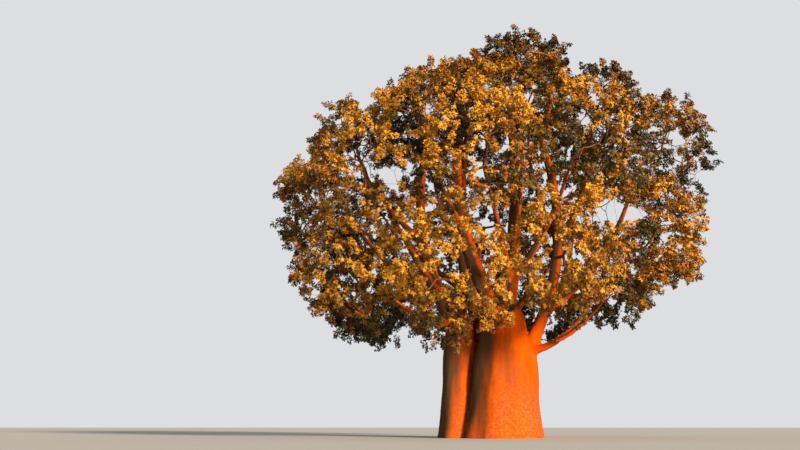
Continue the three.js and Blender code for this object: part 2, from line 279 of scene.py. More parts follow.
def crown_masses():
    """Every mass of the crown, in the source's order."""
    masses = []
    for ring in RINGS:
        for order, reach in enumerate(ring.reach):
            azimuth = ring.first + 360 / len(ring.reach) * order
            out = crown_direction(azimuth, ring.rise + ring.lift[order])
            middle = HEART + out * (reach - ring.spread)
            name = f"{ring.name}_{side_of_crown(azimuth)}"
            masses.append(Mass(name, len(masses) + 1, order, ring, out, ring.spread, middle))
    return masses


def level_towards(mass, point):
    """Level direction from a point towards a mass."""
    return Vector((mass.middle.x - point.x, mass.middle.y - point.y, 0)).normalized()


def bough_curve(start, leave, end, random):
    """A limb's curve: it leaves along one direction and bends over to its end, with a seeded sway."""
    length = (end - start).length
    bend = start + leave * (length * BOUGH_BEND)
    across = UP.cross(leave).normalized()
    bend += across * (swing(random) * BOUGH_SWAY * length)
    bend.z += swing(random) * BOUGH_SWAY * length
    return Curve(start, bend, end)


def bough_start(mass, leaders):
    """Where a bough starts: inside the stem that its ring names, or on the leader that stands nearest."""
    ring = mass.ring
    if ring.stems:
        stem = STEMS[ring.stems[mass.order]]
        point = stem.axis(stem.height * ring.join)
        return point + level_towards(mass, point) * (stem.top * BOUGH_ROOT)
    points = [leader.curve.at(ring.join) for leader in leaders]
    return min(points, key=lambda point: (point - mass.middle).xy.length)


def bough_to(mass, leaders):
    """The bough that carries a mass, from the trunk or from a leader to the mass's inside."""
    ring = mass.ring
    start = bough_start(mass, leaders)
    end = mass.middle + (start - mass.middle).normalized() * (mass.radius * BOUGH_ENTRY)
    leave = level_towards(mass, start)
    leave.z = ring.climb
    curve = bough_curve(start, leave.normalized(), end, seeded(mass.seed + BOUGH_SEED))
    widest = STEMS[ring.stems[mass.order]].top * BOUGH_SHARE if ring.stems else math.inf
    return Bough(curve, min(ring.girth, widest), ring.tip)


def grow_boughs(masses):
    """The bough of every mass: first the leaders, which carry the top, then the limbs that leave them."""
    boughs = {mass.name: bough_to(mass, []) for mass in masses if mass.ring.name == "top"}
    leaders = list(boughs.values())
    for mass in masses:
        if mass.name not in boughs:
            boughs[mass.name] = bough_to(mass, leaders)
    return boughs


MASSES = crown_masses()
BOUGHS = grow_boughs(MASSES)
MIDDLES = np.array([mass.middle for mass in MASSES])
RADII = np.array([mass.radius for mass in MASSES])
FOLIAGE_NODES = [f"foliage_{mass.name}" for mass in MASSES]
LIMB_NODES = ["trunk", *(f"bough_{mass.name}" for mass in MASSES)]


# Where sprays may grow: each mass's own space, less the gaps where the usual view shows sky

CELL_CLEARANCE = 0.012
LEAF_REACH = 0.1
EDGE_RAGGED = 0.32
EDGE_DEPTH = 0.5
TUFT_SCALE = 0.75
NICK_SCALE = 2.2
NICK_SHARE = 0.6

VIEWPOINT = Vector((0, -40, 0.5))
# Each gap's middle, across and up in the plane of the trunk, then its half width and half height
SKY_WINDOWS = (
    (-5.7, 12.3, 0.9, 0.45),
    (-4.2, 12.2, 0.8, 0.45),
    (5.7, 9.9, 1.1, 0.7),
    (2.3, 5.2, 0.35, 0.6),
)
WINDOW_RAGGED = 0.9
WINDOW_RAGGED_SCALE = 0.9
NO_SHIFT = Vector((0, 0, 0))
WANDER_SHIFTS = (NO_SHIFT, Vector((17.3, 0, 0)), Vector((0, 31.7, 0)))


def noise_over(points, scale, shift=NO_SHIFT):
    """Smooth noise at each of some points, at a scale and a shift."""
    return np.array([noise.noise(Vector(point) * scale + shift) for point in points])


def room_at(mass, points):
    """How far some points are inside a mass's side of the border that it shares with each other mass."""
    index = mass.seed - 1
    apart = np.linalg.norm(points[:, None, :] - MIDDLES[None], axis=2)
    power = apart**2 - RADII**2
    spacing = np.linalg.norm(MIDDLES - MIDDLES[index], axis=1)
    spacing[index] = 1
    borders = (power - power[:, [index]]) / 2 / spacing
    borders[:, index] = np.inf
    return borders.min(axis=1) - CELL_CLEARANCE


def in_oval(mass, points, settings):
    """Whether points lie in a mass's oval, with a ragged edge: its radius outwards, and more sideways."""
    offset = (points - np.array(mass.middle)) / (mass.radius - LEAF_REACH)
    outward = offset @ np.array(mass.out)
    sideways = np.sum(offset**2, axis=1) - outward**2
    nicks = noise_over(points, NICK_SCALE)
    edge = 1 - EDGE_RAGGED * (EDGE_DEPTH + noise_over(points, TUFT_SCALE) + NICK_SHARE * nicks)
    return outward**2 + sideways / (1 + settings.clump_stretch) ** 2 < edge**2


def in_sky_window(points):
    """Whether the usual view shows open sky through each point."""
    share = VIEWPOINT.y / (VIEWPOINT.y - points[:, 1])
    x = VIEWPOINT.x + (points[:, 0] - VIEWPOINT.x) * share
    z = VIEWPOINT.z + (points[:, 2] - VIEWPOINT.z) * share
    seen = np.zeros(len(points), dtype=bool)
    for gap_x, gap_z, across, up in SKY_WINDOWS:
        seen |= ((x - gap_x) / across) ** 2 + ((z - gap_z) / up) ** 2 < 1
    return seen


def in_ragged_window(points):
    """Whether the usual view shows open sky through each point, past a leafy edge."""
    wander = [noise_over(points, WINDOW_RAGGED_SCALE, shift) for shift in WANDER_SHIFTS]
    return in_sky_window(points + np.stack(wander, axis=1) * WINDOW_RAGGED)


# Finer growth: clumps in each mass, sprays in each clump, and the twigs that bear them

BACK_SHARE = -0.7
CLUMP_SIZES = (0.7, 1.3)
SPRAY_DEPTHS = (0.6, 1.1)
FORK_SHARE = 0.48
TWIG_ROOT = 0.01
TWIG_END = 0.006
FOOT_LENGTH = 4
FOOT_TAPER = 0.8
FOOT_OVERLAP = 0.12
CROOK = 0.06
CROOKED_FROM = 0.35
NO_LENGTH = 1e-6
SHOOT = (0.36, 0.85)
SHOOT_SHARE = 0.7
GROWTH_SETTINGS = (
    "clumps", "sprays", "clump_inner", "clump_outer", "clump_radius", "clump_stretch", "clump_flatness",
)


@dataclass
class Spray:
    """A leafy shoot: its tip, the way it points, its length, and the clump and mass that it belongs to."""

    tip: Vector
    heading: Vector
    clump: Vector
    mass: Mass
    shoot: float


@dataclass
class Twig:
    """A twig swept along stations, each with a place and a half width."""

    places: list
    radii: list


def golden_direction(i, count, start):
    """The i-th of some directions spread evenly round a ball on a golden spiral."""
    z = 1 - 2 * (i + 0.5) / count
    flat = math.sqrt(1 - z * z)
    turn = start + GOLDEN_TURN * i
    return Vector((flat * math.cos(turn), flat * math.sin(turn), z))


def clump_places(mass, random, settings):
    """Middles of the clumps of a mass, on a golden spiral at seeded depths."""
    start = random() * FULL_TURN
    places = []
    for i in range(settings.clumps):
        direction = golden_direction(i, settings.clumps, start)
        depth = lerp(settings.clump_inner, settings.clump_outer, math.sqrt(random()))
        outward = direction.dot(mass.out)
        stretch = 1 + settings.clump_stretch * (1 - abs(outward))
        if outward >= BACK_SHARE:
            places.append(mass.middle + direction * (depth * stretch * mass.radius))
    return places


def spray_places(mass, random, settings):
    """Tips of the sprays of a mass, each with the middle of its clump."""
    found = []
    for clump in clump_places(mass, random, settings):
        size = settings.clump_radius * lerp(*CLUMP_SIZES, random())
        start = random() * FULL_TURN
        for i in range(settings.sprays):
            direction = golden_direction(i, settings.sprays, start)
            direction.z *= settings.clump_flatness
            found.append((clump + direction * (size * lerp(*SPRAY_DEPTHS, random())), clump))
    places = np.array([place for place, _ in found])
    kept = (room_at(mass, places) > 0) & in_oval(mass, places, settings) & ~in_ragged_window(places)
    return [pair for pair, keep in zip(found, kept) if keep]


def halves(borne):
    """The two halves of what a twig bears, either side of the middle of the widest spread."""
    places = np.array([place for place, _ in borne])
    widest = int(np.argmax(np.ptp(places, axis=0)))
    ordered = sorted(borne, key=lambda pair: pair[0][widest])
    half = math.ceil(len(ordered) / 2)
    return ordered[:half], ordered[half:]


def middle_of(borne):
    """The mean place of what a twig bears."""
    return sum((place for place, _ in borne), Vector()) / len(borne)


def crook(here, there, random):
    """A place half way along a twig, pushed a little to one side."""
    along = there - here
    side = along.cross(Vector((random() - 0.5, random() - 0.5, random() - 0.5)))
    if side.length < NO_LENGTH:
        return (here + there) / 2
    return (here + there) / 2 + side.normalized() * (along.length * CROOK)


class Growth:
    """The twigs and sprays of one mass, grown from the tip of its bough."""

    def __init__(self, mass, settings):
        self.mass = mass
        self.bough = BOUGHS[mass.name]
        self.random = seeded(mass.seed)
        self.twigs = []
        self.sprays = []
        borne = spray_places(mass, self.random, settings)
        self.total = len(borne)
        self.grow(self.foot(), borne)

    def foot(self):
        """The start of the mass's main twig, which carries on from the bough's tip."""
        tip = self.bough.tip
        leave = self.bough.curve.along(1)
        end = self.bough.curve.at(1)
        places = [end - leave * FOOT_OVERLAP, end + leave * (tip * FOOT_LENGTH)]
        return Twig(places, [tip, tip * FOOT_TAPER])

    def radius_for(self, count):
        """Half width of a twig that bears so many sprays."""
        return max(TWIG_END, self.bough.tip * FOOT_TAPER * math.sqrt(count / self.total))

    def extend(self, twig, point, radius):
        """Carries a twig on to a point, with a crook on the way if that is far."""
        here = twig.places[-1]
        if (point - here).length > CROOKED_FROM:
            twig.places.append(crook(here, point, self.random))
            twig.radii.append((twig.radii[-1] + radius) / 2)
        twig.places.append(point)
        twig.radii.append(radius)

    def end_in_spray(self, twig, place, clump):
        """Ends a twig in its spray."""
        last = place - twig.places[-1]
        self.extend(twig, place, TWIG_END)
        self.twigs.append(twig)
        shoot = clamp(last.length * SHOOT_SHARE, *SHOOT)
        self.sprays.append(Spray(place, last.normalized(), clump, self.mass, shoot))

    def grow(self, twig, carried):
        """Carries a twig on to all that it bears: one half on itself, the other on a new twig."""
        if len(carried) == 1:
            self.end_in_spray(twig, *carried[0])
            return
        point = twig.places[-1].lerp(middle_of(carried), FORK_SHARE)
        self.extend(twig, point, self.radius_for(len(carried)))
        on, off = halves(carried)
        self.grow(twig, on)
        root = point.lerp(middle_of(off), -TWIG_ROOT)
        self.grow(Twig([root], [self.radius_for(len(off))]), off)


grown = {}


def grow_crown(settings):
    """The twigs and sprays of the whole crown, grown once and kept for both kinds of piece."""
    key = tuple(getattr(settings, name) for name in GROWTH_SETTINGS)
    if key not in grown:
        growths = [Growth(mass, settings) for mass in MASSES]
        twigs = [twig for growth in growths for twig in growth.twigs]
        sprays = [spray for growth in growths for spray in growth.sprays]
        grown[key] = (twigs, sprays)
    return grown[key]


# Settings that a user would change


class BaobabBark(bpy.types.PropertyGroup):
    """Relief and colours of the bark."""

    voxel: FloatProperty(
        name="Mesh size", description="Spacing of the bark's mesh", default=0.08, min=0.03, unit="LENGTH"
    )
    fold_depth: FloatProperty(
        name="Folds", description="Depth of the folds that run up the trunk", default=0.045, unit="LENGTH"
    )
    wrinkle_depth: FloatProperty(
        name="Wrinkles", description="Depth of the creases across the limbs", default=0.009, unit="LENGTH"
    )
    copper: FloatVectorProperty(
        name="Copper", description="Smooth bark", subtype="COLOR", default=(0.74, 0.105, 0.002), min=0, max=1
    )
    rust: FloatVectorProperty(
        name="Rust", description="Deeper patches", subtype="COLOR", default=(0.6, 0.08, 0.004), min=0, max=1
    )
    # Ash is weathered bark in patches, and it also paints shade on the shaded sides of the stems and on the
    # limbs in the crown.
    ash_and_painted_shade: FloatVectorProperty(
        name="Ash", description="Weathered bark", subtype="COLOR", default=(0.115, 0.06, 0.03), min=0, max=1
    )
    twig: FloatVectorProperty(
        name="Twig", description="Twigs", subtype="COLOR", default=(0.2, 0.05, 0.012), min=0, max=1
    )
    rubbed: FloatVectorProperty(
        name="Rubbed", description="Grit on the foot", subtype="COLOR", default=(0.7, 0.155, 0.035),
        min=0, max=1,
    )
    # The hollow colour is painted shade in the bottoms of the folds and in the seams between the stems.
    hollow: FloatVectorProperty(
        name="Hollow", description="Bottom of the folds", subtype="COLOR", default=(0.12, 0.032, 0.009),
        min=0, max=1,
    )


class BaobabFoliage(bpy.types.PropertyGroup):
    """How thickly the crown grows, and the tints of its leaves."""

    clumps: IntProperty(name="Clumps", description="Clumps tried in each mass", default=102, min=1)
    sprays: IntProperty(name="Sprays", description="Sprays tried in each clump", default=5, min=1)
    leaves: IntProperty(name="Leaves", description="Leaves on each spray", default=17, min=1)
    clump_inner: FloatProperty(
        name="Inner depth", description="Nearest a clump lies to the middle of its mass", default=0.5,
        subtype="FACTOR",
    )
    clump_outer: FloatProperty(
        name="Outer depth", description="Furthest a clump lies from it", default=0.93, subtype="FACTOR"
    )
    clump_radius: FloatProperty(
        name="Clump size", description="Half width of a clump", default=0.66, unit="LENGTH"
    )
    clump_stretch: FloatProperty(
        name="Side stretch", description="How much further clumps reach sideways than outwards", default=0.3,
        subtype="FACTOR",
    )
    clump_flatness: FloatProperty(
        name="Clump height", description="Height of a clump as a share of its width", default=0.7,
        subtype="FACTOR",
    )
    leaflet: FloatProperty(
        name="Leaflet", description="Length of a leaflet", default=0.145, unit="LENGTH"
    )
    # The tints differ in hue, and they are also dealt out from dark to light so as to paint light and shade
    # over the crown.
    gold: FloatVectorProperty(
        name="Gold", description="Lightest leaves", subtype="COLOR", default=(0.66, 0.33, 0.032),
        min=0, max=1,
    )
    ochre: FloatVectorProperty(
        name="Ochre", description="Light leaves", subtype="COLOR", default=(0.42, 0.19, 0.014), min=0, max=1
    )
    amber: FloatVectorProperty(
        name="Amber", description="Reddish leaves", subtype="COLOR", default=(0.36, 0.11, 0.01),
        min=0, max=1,
    )
    olive: FloatVectorProperty(
        name="Olive", description="Greenish leaves", subtype="COLOR", default=(0.155, 0.1, 0.01),
        min=0, max=1,
    )
    moss: FloatVectorProperty(
        name="Moss", description="Dark leaves", subtype="COLOR", default=(0.064, 0.05, 0.014), min=0, max=1
    )
    dusk: FloatVectorProperty(
        name="Dusk", description="Darkest leaves", subtype="COLOR", default=(0.03, 0.024, 0.01),
        min=0, max=1,
    )


class BaobabStage(bpy.types.PropertyGroup):
    """Floor and light."""

    floor_colour: FloatVectorProperty(
        name="Floor", description="Colour of the floor", subtype="COLOR", default=(0.74, 0.78, 0.84),
        min=0, max=1,
    )
    backdrop_colour: FloatVectorProperty(
        name="Backdrop", description="Colour seen past the floor", subtype="COLOR",
        default=(0.72, 0.73, 0.75), min=0, max=1,
    )
    room_colour: FloatVectorProperty(
        name="Room light colour", description="Colour of the even light", subtype="COLOR",
        default=(1.0, 0.95, 0.9), min=0, max=1,
    )
    key_colour: FloatVectorProperty(
        name="Key light colour", description="Colour of the key light", subtype="COLOR",
        default=(1.0, 0.8, 0.54), min=0, max=1,
    )
    key_power: FloatProperty(
        name="Key light", description="Strength of the soft key light", default=6.2
    )
    sky_strength: FloatProperty(
        name="Room light", description="Strength of the even light from all sides", default=0.26
    )


# Shader groups and materials

MIX_COLOUR_INPUTS = slice(6, 8)
MIX_COLOUR_OUTPUT = 2
WRINKLE_STRETCH = (1.0, 1.0, 2.6)
CRACK_SPACING = 0.45
CRACK_WIDTH = 0.12
CRACK_SHARE = 0.35
PATCH_SHARE = 0.55
FLECK_SHARE = 0.35
GRIT_FROM = 3.1
GRIT_FULL_AT = 0.6
DARKER_LEAF = 0.72
LIGHTER_LEAF = 1.2


def add_node(tree, kind, options=(), values=()):
    """A shader node with its own options, and values for its inputs by name."""
    node = tree.nodes.new(kind)
    for name, value in dict(options).items():
        setattr(node, name, value)
    for name, value in dict(values).items():
        node.inputs[name].default_value = value
    return node


def feed(tree, value, socket):
    """Sets a socket to a number or a colour, or links another node's output to it."""
    if isinstance(value, bpy.types.NodeSocket):
        tree.links.new(value, socket)
    else:
        socket.default_value = (*value, 1) if socket.type == "RGBA" else value


def product(tree, first, second):
    """The output of two values multiplied, each a number or another node's output."""
    node = add_node(tree, "ShaderNodeMath", {"operation": "MULTIPLY"})
    feed(tree, first, node.inputs[0])
    feed(tree, second, node.inputs[1])
    return node.outputs["Value"]


def stretched(tree, place, stretch):
    """A place multiplied along each axis, so that a pattern is drawn out or flattened."""
    node = add_node(tree, "ShaderNodeVectorMath", {"operation": "MULTIPLY"})
    feed(tree, place, node.inputs[0])
    feed(tree, stretch, node.inputs[1])
    return node.outputs["Vector"]


def mix_colours(tree, factor, first, second):
    """The colour output of a mix of two colours, each a colour or another node's output."""
    node = add_node(tree, "ShaderNodeMix", {"data_type": "RGBA"})
    feed(tree, factor, node.inputs["Factor"])
    for value, socket in zip((first, second), node.inputs[MIX_COLOUR_INPUTS]):
        feed(tree, value, socket)
    return node.outputs[MIX_COLOUR_OUTPUT]


def new_group(name, inputs, outputs):
    """An empty shader node group with named sockets, and its two ends."""
    tree = bpy.data.node_groups.new(name, "ShaderNodeTree")
    for label, kind, value in inputs:
        socket = tree.interface.new_socket(label, in_out="INPUT", socket_type=kind)
        if value is not None:
            socket.default_value = value
    for label in outputs:
        tree.interface.new_socket(label, in_out="OUTPUT", socket_type="NodeSocketFloat")
    return tree, tree.nodes.new("NodeGroupInput").outputs, tree.nodes.new("NodeGroupOutput").inputs


def drawn_out_noise_group():
    """Noise that is drawn out along the height, as a value and as a sharper mask."""
    name = "Drawn Out Noise"
    if name in bpy.data.node_groups:
        return bpy.data.node_groups[name]
    sockets = [
        ("Vector", "NodeSocketVector", None),
        ("Stretch", "NodeSocketVector", (1, 1, 1)),
        ("Scale", "NodeSocketFloat", 1.0),
        ("Low", "NodeSocketFloat", 0.4),
        ("High", "NodeSocketFloat", 0.6),
    ]
    tree, given, result = new_group(name, sockets, ["Value", "Mask"])
    texture = add_node(tree, "ShaderNodeTexNoise", values={"Detail": 5.0, "Roughness": 0.6})
    mask = add_node(tree, "ShaderNodeMapRange", {"interpolation_type": "SMOOTHSTEP"})
    link = tree.links.new
    link(stretched(tree, given["Vector"], given["Stretch"]), texture.inputs["Vector"])
    link(given["Scale"], texture.inputs["Scale"])
    link(texture.outputs["Fac"], mask.inputs["Value"])
    link(given["Low"], mask.inputs["From Min"])
    link(given["High"], mask.inputs["From Max"])
    link(texture.outputs["Fac"], result["Value"])
    link(mask.outputs["Result"], result["Mask"])
    return tree


def wrinkle_group():
    """Fine wrinkles and pores, as a height."""
    name = "Wrinkled Skin"
    if name in bpy.data.node_groups:
        return bpy.data.node_groups[name]
    sockets = [("Vector", "NodeSocketVector", None), ("Scale", "NodeSocketFloat", 1.0)]
    tree, given, result = new_group(name, sockets, ["Height"])
    flat = stretched(tree, given["Vector"], WRINKLE_STRETCH)
    grain = add_node(tree, "ShaderNodeTexNoise", values={"Detail": 8.0, "Roughness": 0.68})
    cracks = add_node(tree, "ShaderNodeTexVoronoi", {"feature": "DISTANCE_TO_EDGE"})
    edge = add_node(tree, "ShaderNodeMapRange", values={"From Min": 0.0, "From Max": CRACK_WIDTH})
    total = add_node(tree, "ShaderNodeMath", {"operation": "MULTIPLY_ADD"})
    total.inputs[1].default_value = CRACK_SHARE
    link = tree.links.new
    link(flat, grain.inputs["Vector"])
    link(flat, cracks.inputs["Vector"])
    link(given["Scale"], grain.inputs["Scale"])
    link(product(tree, given["Scale"], CRACK_SPACING), cracks.inputs["Scale"])
    link(cracks.outputs["Distance"], edge.inputs["Value"])
    link(edge.outputs["Result"], total.inputs[0])
    link(grain.outputs["Fac"], total.inputs[2])
    link(total.outputs["Value"], result["Height"])
    return tree


def group_node(tree, group, place, **values):
    """A group placed in a material, read at a place, with its own values."""
    node = tree.nodes.new("ShaderNodeGroup")
    node.node_tree = group
    for name, value in values.items():
        node.inputs[name].default_value = value
    tree.links.new(place, node.inputs["Vector"])
    return node


def new_material(name, roughness, gloss):
    """A material with its Principled shader and its object coordinates."""
    material = bpy.data.materials.new(name)
    material.use_nodes = True
    tree = material.node_tree
    shader = tree.nodes["Principled BSDF"]
    shader.inputs["Roughness"].default_value = roughness
    shader.inputs["Specular IOR Level"].default_value = gloss
    coordinates = tree.nodes.new("ShaderNodeTexCoord")
    return material, tree, shader, coordinates.outputs["Object"]


def add_roughness(tree, shader, value, low, high):
    """Roughness that goes from low to high with a value."""
    rough = add_node(tree, "ShaderNodeMapRange", values={"To Min": low, "To Max": high})
    tree.links.new(value, rough.inputs["Value"])
    tree.links.new(rough.outputs["Result"], shader.inputs["Roughness"])


def add_wrinkles(tree, shader, place, scale, strength, distance):
    """Fine relief of wrinkles and pores, on the shader's normal."""
    wrinkles = group_node(tree, wrinkle_group(), place, Scale=scale)
    bump = add_node(tree, "ShaderNodeBump", values={"Strength": strength, "Distance": distance})
    tree.links.new(wrinkles.outputs["Height"], bump.inputs["Height"])
    tree.links.new(bump.outputs["Normal"], shader.inputs["Normal"])


def nearness_to_ground(tree, place):
    """A mask that comes in over the foot of the trunk."""
    axes = tree.nodes.new("ShaderNodeSeparateXYZ")
    heights = {"From Min": GRIT_FROM, "From Max": GRIT_FULL_AT}
    foot = add_node(tree, "ShaderNodeMapRange", {"interpolation_type": "SMOOTHSTEP"}, heights)
    tree.links.new(place, axes.inputs["Vector"])
    tree.links.new(axes.outputs["Z"], foot.inputs["Value"])
    return foot.outputs["Result"]


def bark_material(settings):
    """Smooth copper bark with rusty and ashen patches, a gritty foot and fine wrinkles, ash that is partly
    weathering and partly painted shade on the shaded sides and the limbs, and painted shade in the folds and
    seams.
    """
    material, tree, shader, place = new_material("Baobab bark", roughness=0.72, gloss=0.02)
    drawn = drawn_out_noise_group()
    patches = group_node(tree, drawn, place, Stretch=(1, 1, 0.45), Scale=0.75, Low=0.46, High=0.66)
    streaks = group_node(tree, drawn, place, Stretch=(3.2, 3.2, 0.5), Scale=1.5, Low=0.5, High=0.7)
    speckle = group_node(tree, drawn, place, Stretch=(1, 1, 1.4), Scale=7.0, Low=0.52, High=0.68)
    grit = group_node(tree, drawn, place, Stretch=(1, 1, 1.2), Scale=11.0, Low=0.42, High=0.6)
    gritty = product(tree, nearness_to_ground(tree, place), grit.outputs["Mask"])
    weather = add_node(tree, "ShaderNodeAttribute", {"attribute_name": "weather"})
    hollow = add_node(tree, "ShaderNodeAttribute", {"attribute_name": "hollow"})
    colour = settings.copper
    for mask, finish in (
        (streaks.outputs["Mask"], settings.rust),
        (product(tree, patches.outputs["Mask"], PATCH_SHARE), settings.ash_and_painted_shade),
        (product(tree, speckle.outputs["Mask"], FLECK_SHARE), settings.rust),
        (gritty, settings.rubbed),
        # ash as weathering and as painted shade on the shaded sides of the stems and on the limbs
        (weather.outputs["Fac"], settings.ash_and_painted_shade),
        # painted shade in the bottoms of the folds and in the seams between the stems
        (hollow.outputs["Fac"], settings.hollow),
    ):
        colour = mix_colours(tree, mask, colour, finish)
    tree.links.new(colour, shader.inputs["Base Color"])
    add_roughness(tree, shader, patches.outputs["Value"], low=0.6, high=0.88)
    add_wrinkles(tree, shader, place, scale=9.0, strength=0.5, distance=0.02)
    return material


def twig_material(settings):
    """Bark of the twigs: darker and greyer than the trunk's."""
    material, tree, shader, place = new_material("Twig bark", roughness=0.8, gloss=0.5)
    patches = group_node(tree, drawn_out_noise_group(), place, Scale=2.2, Low=0.4, High=0.62)
    colour = mix_colours(tree, patches.outputs["Mask"], settings.twig, settings.ash_and_painted_shade)
    tree.links.new(colour, shader.inputs["Base Color"])
    add_wrinkles(tree, shader, place, scale=22.0, strength=0.4, distance=0.008)
    return material


def leaf_material(name, tint):
    """A leaf's tint, a little lighter and darker from place to place, with a faint sheen."""
    material, tree, shader, place = new_material(f"Leaf {name}", roughness=0.5, gloss=0.3)
    mottle = group_node(tree, drawn_out_noise_group(), place, Scale=5.0, Low=0.35, High=0.65)
    dark = [channel * DARKER_LEAF for channel in tint]
    light = [min(1.0, channel * LIGHTER_LEAF) for channel in tint]
    colour = mix_colours(tree, mottle.outputs["Mask"], dark, light)
    tree.links.new(colour, shader.inputs["Base Color"])
    add_roughness(tree, shader, mottle.outputs["Value"], low=0.45, high=0.7)
    add_wrinkles(tree, shader, place, scale=60.0, strength=0.25, distance=0.004)
    return material


# Making a piece


def add_piece(name, mesh, material, nodes):
    """A finished piece in the scene: on the root body, standing for CAD nodes."""
    piece = bpy.data.objects.new(name, mesh)
    bpy.context.scene.collection.objects.link(piece)
    mesh.materials.append(material)
    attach(piece, "root")
    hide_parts(*nodes)
    return piece


def mesh_of_triangles(name, points, triangles):
    """A mesh from arrays of places and of triangles, each as three corner numbers."""
    mesh = bpy.data.meshes.new(name)
    corners = np.asarray(triangles, dtype=np.int32).ravel()
    mesh.vertices.add(len(points))
    mesh.vertices.foreach_set("co", np.asarray(points, dtype=np.float32).ravel())
    mesh.loops.add(len(corners))
    mesh.loops.foreach_set("vertex_index", corners)
    mesh.polygons.add(len(corners) // 3)
    mesh.polygons.foreach_set("loop_start", np.arange(0, len(corners), 3, dtype=np.int32))
    mesh.update()
    mesh.validate()
    return mesh


# Trunk and boughs, fused into one skin

STEM_SIDES = 40
STEM_STEP = 0.24
BURIED = 0.3
DOME = 0.3
DOME_STEPS = 4
BOUGH_SIDES = 14
BOUGH_STEP = 0.3
COLLAR = 0.3
COLLAR_LENGTH = 0.55
BOUGH_OVERRUN = 0.06
SMOOTHING_ROUNDS = 7
SMOOTHING = 0.5


def ring_edges(bm, ring):
    """The edges that join the vertices of a ring, in their order."""
    return [bm.edges.get(pair) for pair in zip(ring, ring[1:] + ring[:1])]


def close_limb(bm, rings):
    """Bridges rings of vertices one after another, and closes both ends."""
    outlines = [ring_edges(bm, ring) for ring in rings]
    for here, there in zip(outlines, outlines[1:]):
        bmesh.ops.bridge_loops(bm, edges=here + there)
    for outline in (outlines[0], outlines[-1]):
        bmesh.ops.contextual_create(bm, geom=outline)


def stem_stations(stem):
    """Heights of a stem's outlines, each with a rise above it in the dome and a share of its width."""
    steps = round(stem.height / STEM_STEP)
    stations = [(0.0, -BURIED, 1.0)]
    stations += [(stem.height * step / steps, 0.0, 1.0) for step in range(steps + 1)]
    for step in range(1, DOME_STEPS + 1):
        turn = math.pi / 2 * step / (DOME_STEPS + 0.5)
        stations.append((stem.height, DOME * math.sin(turn), math.cos(turn)))
    return stations


def add_stem(bm, stem):
    """A stem of the trunk, from below the ground cut to a domed top."""
    rings = []
    for z, shift, share in stem_stations(stem):
        circle = bmesh.ops.create_circle(bm, segments=STEM_SIDES, radius=1)["verts"]
        for vert in circle:
            turn = math.atan2(vert.co.y, vert.co.x)
            radius = stem.radius(z, turn) * share
            vert.co = stem.axis(z) + Vector((vert.co.x * radius, vert.co.y * radius, shift))
        rings.append(circle)
    close_limb(bm, rings)


def add_bough(bm, bough):
    """A tapering bough that widens into a collar where it leaves the tree."""
    steps = math.ceil(bough.curve.length / BOUGH_STEP)
    rings = []
    for step in range(steps + 1):
        share = step / steps
        collar = 1 + COLLAR * math.exp(-share * bough.curve.length / COLLAR_LENGTH)
        radius = lerp(bough.girth, bough.tip, share) * collar
        along = bough.curve.along(share)
        place = bough.curve.at(share)
        if step == steps:
            place = place + along * BOUGH_OVERRUN
        pose = Matrix.Translation(place) @ along.to_track_quat("Z", "Y").to_matrix().to_4x4()
        circle = bmesh.ops.create_circle(bm, segments=BOUGH_SIDES, radius=radius, matrix=pose)
        rings.append(circle["verts"])
    close_limb(bm, rings)


def overlapping_limbs():
    """A mesh of every stem and bough as a closed limb of its own."""
    bm = bmesh.new()
    for stem in STEMS.values():
        add_stem(bm, stem)
    for bough in BOUGHS.values():
        add_bough(bm, bough)
    bmesh.ops.recalc_face_normals(bm, faces=bm.faces)
    mesh = bpy.data.meshes.new("limbs_before_fusing")
    bm.to_mesh(mesh)
    bm.free()
    return mesh


def fused(mesh, voxel):
    """A mesh of overlapping closed limbs, grown together into one skin."""
    lump = bpy.data.objects.new("limbs_before_fusing", mesh)
    bpy.context.scene.collection.objects.link(lump)
    remesh = lump.modifiers.new("Fuse", "REMESH")
    remesh.mode = "VOXEL"
    remesh.voxel_size = voxel
    depsgraph = bpy.context.evaluated_depsgraph_get()
    skin = bpy.data.meshes.new_from_object(lump.evaluated_get(depsgraph))
    bpy.data.objects.remove(lump)
    return skin


def smooth(bm):
    """Evens out the steps that fusing leaves."""
    axes = {"use_axis_x": True, "use_axis_y": True, "use_axis_z": True}
    for _ in range(SMOOTHING_ROUNDS):
        bmesh.ops.smooth_vert(bm, verts=bm.verts, factor=SMOOTHING, **axes)
    bm.normal_update()


def cut_at_ground(bm):
    """A flat cut through the foot of the trunk at ground level."""
    everything = [*bm.verts, *bm.edges, *bm.faces]
    cut = bmesh.ops.bisect_plane(
        bm, geom=everything, plane_co=(0, 0, 0), plane_no=(0, 0, -1), clear_outer=True
    )
    rim = [item for item in cut["geom_cut"] if isinstance(item, bmesh.types.BMEdge)]
    bmesh.ops.triangle_fill(bm, edges=rim, use_beauty=True, normal=(0, 0, -1))


# Relief of the bark, its weathering and its painted shade

FOLD_SCALE = Vector((1.9, 1.9, 0.28))
FINER_FOLDS = 2.1
FINER_FOLD_SHARE = 0.5
LUMP_SCALE = 0.7
LUMP_DEPTH = 0.05
WRINKLE_SCALE = Vector((0.9, 0.9, 5.5))
WRINKLE_SHARPNESS = 3
WRINKLES_ON_LIMBS = 0.4
TRUNK_MIDDLE = 0.3
TRUNK_TOP = 6.2
TRUNK_REACH = 3.6
ABOVE_TRUNK = 2
LIMB_RELIEF = 0.35
# Painted shade in the bottoms of the folds, and the seams between the stems, which are sunk and also get
# painted shade
HOLLOW_SHADE_DEPTH = 0.06
HOLLOW_SHADE_FROM = 0.35
SEAM_DEPTH = 0.05
SEAM_WIDTH = 0.14
SEAM_FADE = 4.0
SEAM_AT_GROUND = 0.25
SEAM_PAINTED_SHADE = 0.85

